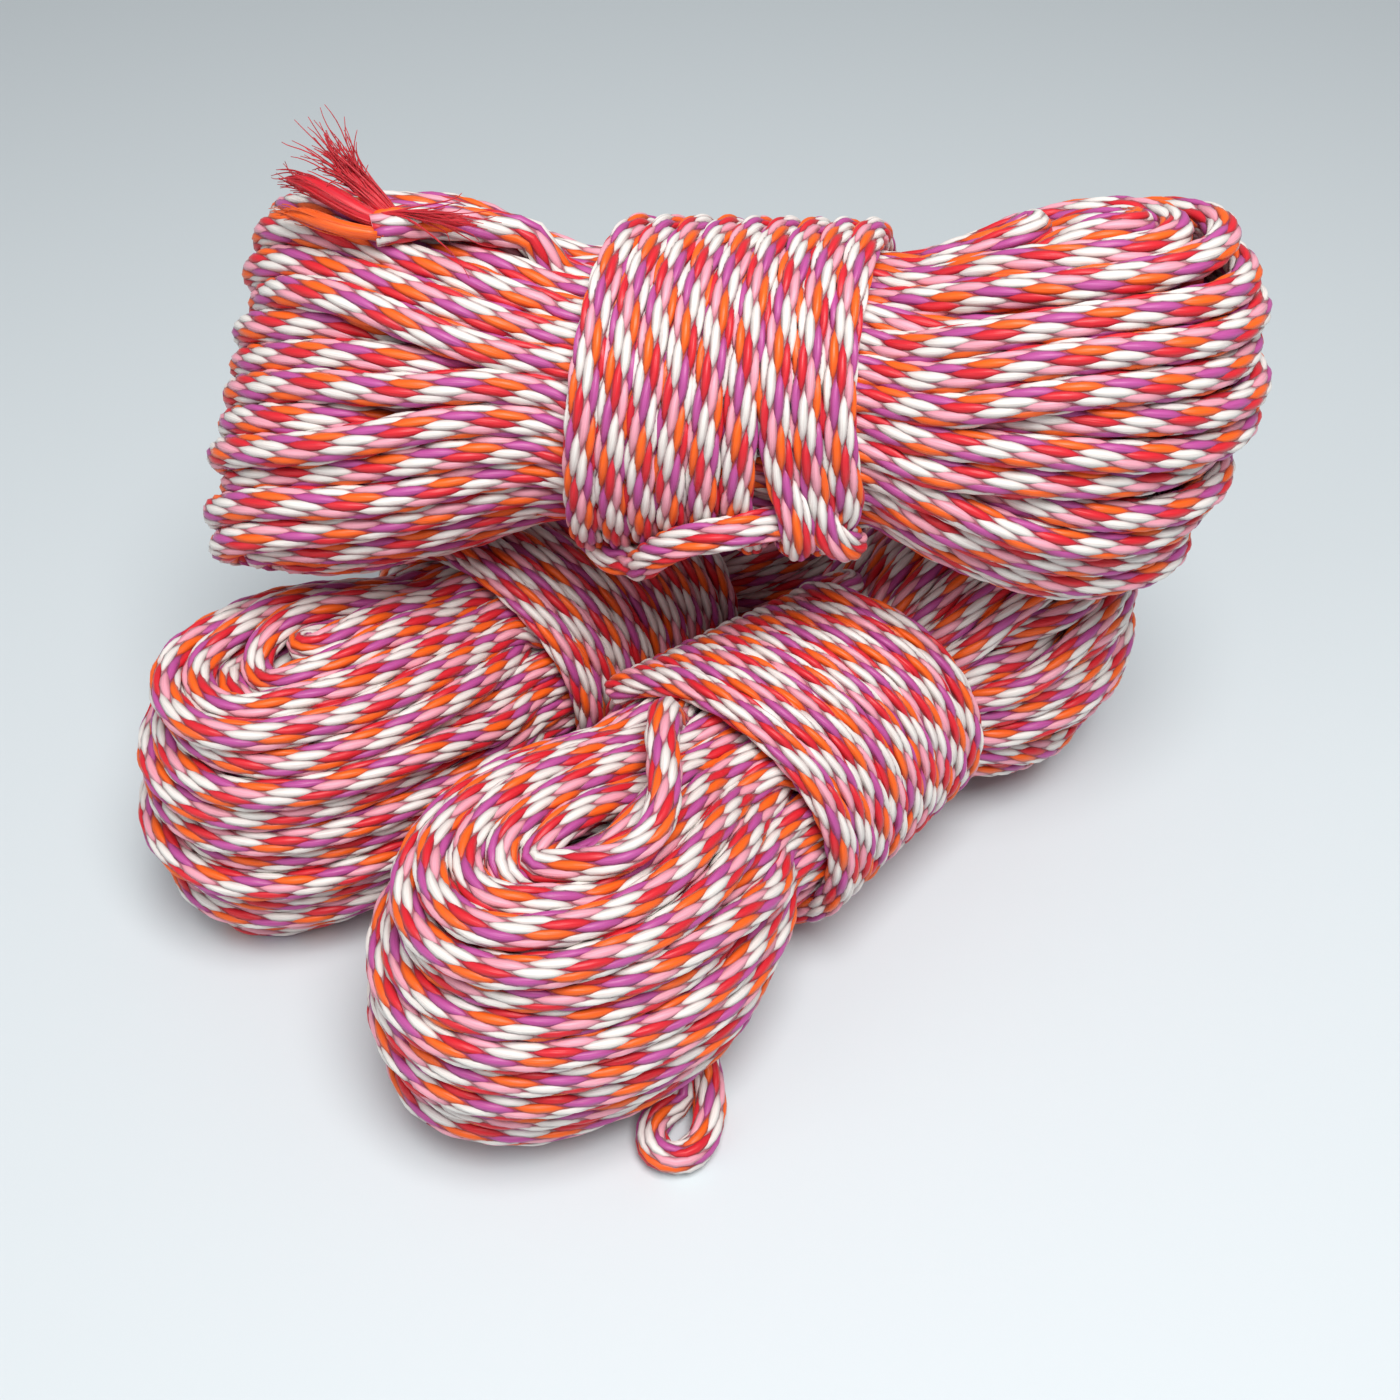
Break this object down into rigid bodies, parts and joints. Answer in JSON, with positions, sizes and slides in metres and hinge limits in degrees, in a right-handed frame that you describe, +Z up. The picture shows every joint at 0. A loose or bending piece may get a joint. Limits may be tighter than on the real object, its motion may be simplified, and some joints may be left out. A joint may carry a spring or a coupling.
{
  "type": "coiled dock line",
  "caption": "Soft braided dock line coiled in long oval hanks, each bound round its waist with its own tail, one hank lying across the others.",
  "frame": {"origin": "on the ground under the middle of the stack's box", "axes": "+Z up, +X along the upper hank, +Y from the near lobes of the lower hanks towards the back"},
  "size_m": [0.2212, 0.2008, 0.1395],
  "materials": {
    "braided_rope": "satin multifilament yarn in white, red, orange, orchid purple and pink",
    "frayed_yarn": "loose satin filaments, red and orange"
  },
  "bodies": {
    "left_hank": {"left_hank_near_lobe": "braided_rope", "left_hank_far_lobe": "braided_rope", "left_hank_wraps": "braided_rope"},
    "front_hank": {"front_hank_near_lobe": "braided_rope", "front_hank_far_lobe": "braided_rope", "front_hank_wraps": "braided_rope", "front_hank_tail_bight": "braided_rope"},
    "top_hank": {"top_hank_near_lobe": "braided_rope", "top_hank_far_lobe": "braided_rope", "top_hank_wraps": "braided_rope", "top_hank_tail": "braided_rope", "top_hank_frayed_end": "frayed_yarn"}
  },
  "joints": [
    {"name": "front_hank_slide", "type": "slide", "parent": "left_hank", "child": "front_hank", "axis": [0.6691, -0.7431, 0], "range_m": [0, 0.1]},
    {"name": "top_hank_lift", "type": "slide", "parent": "left_hank", "child": "top_hank", "axis": [0, 0, 1], "range_m": [0, 0.12]}
  ]
}
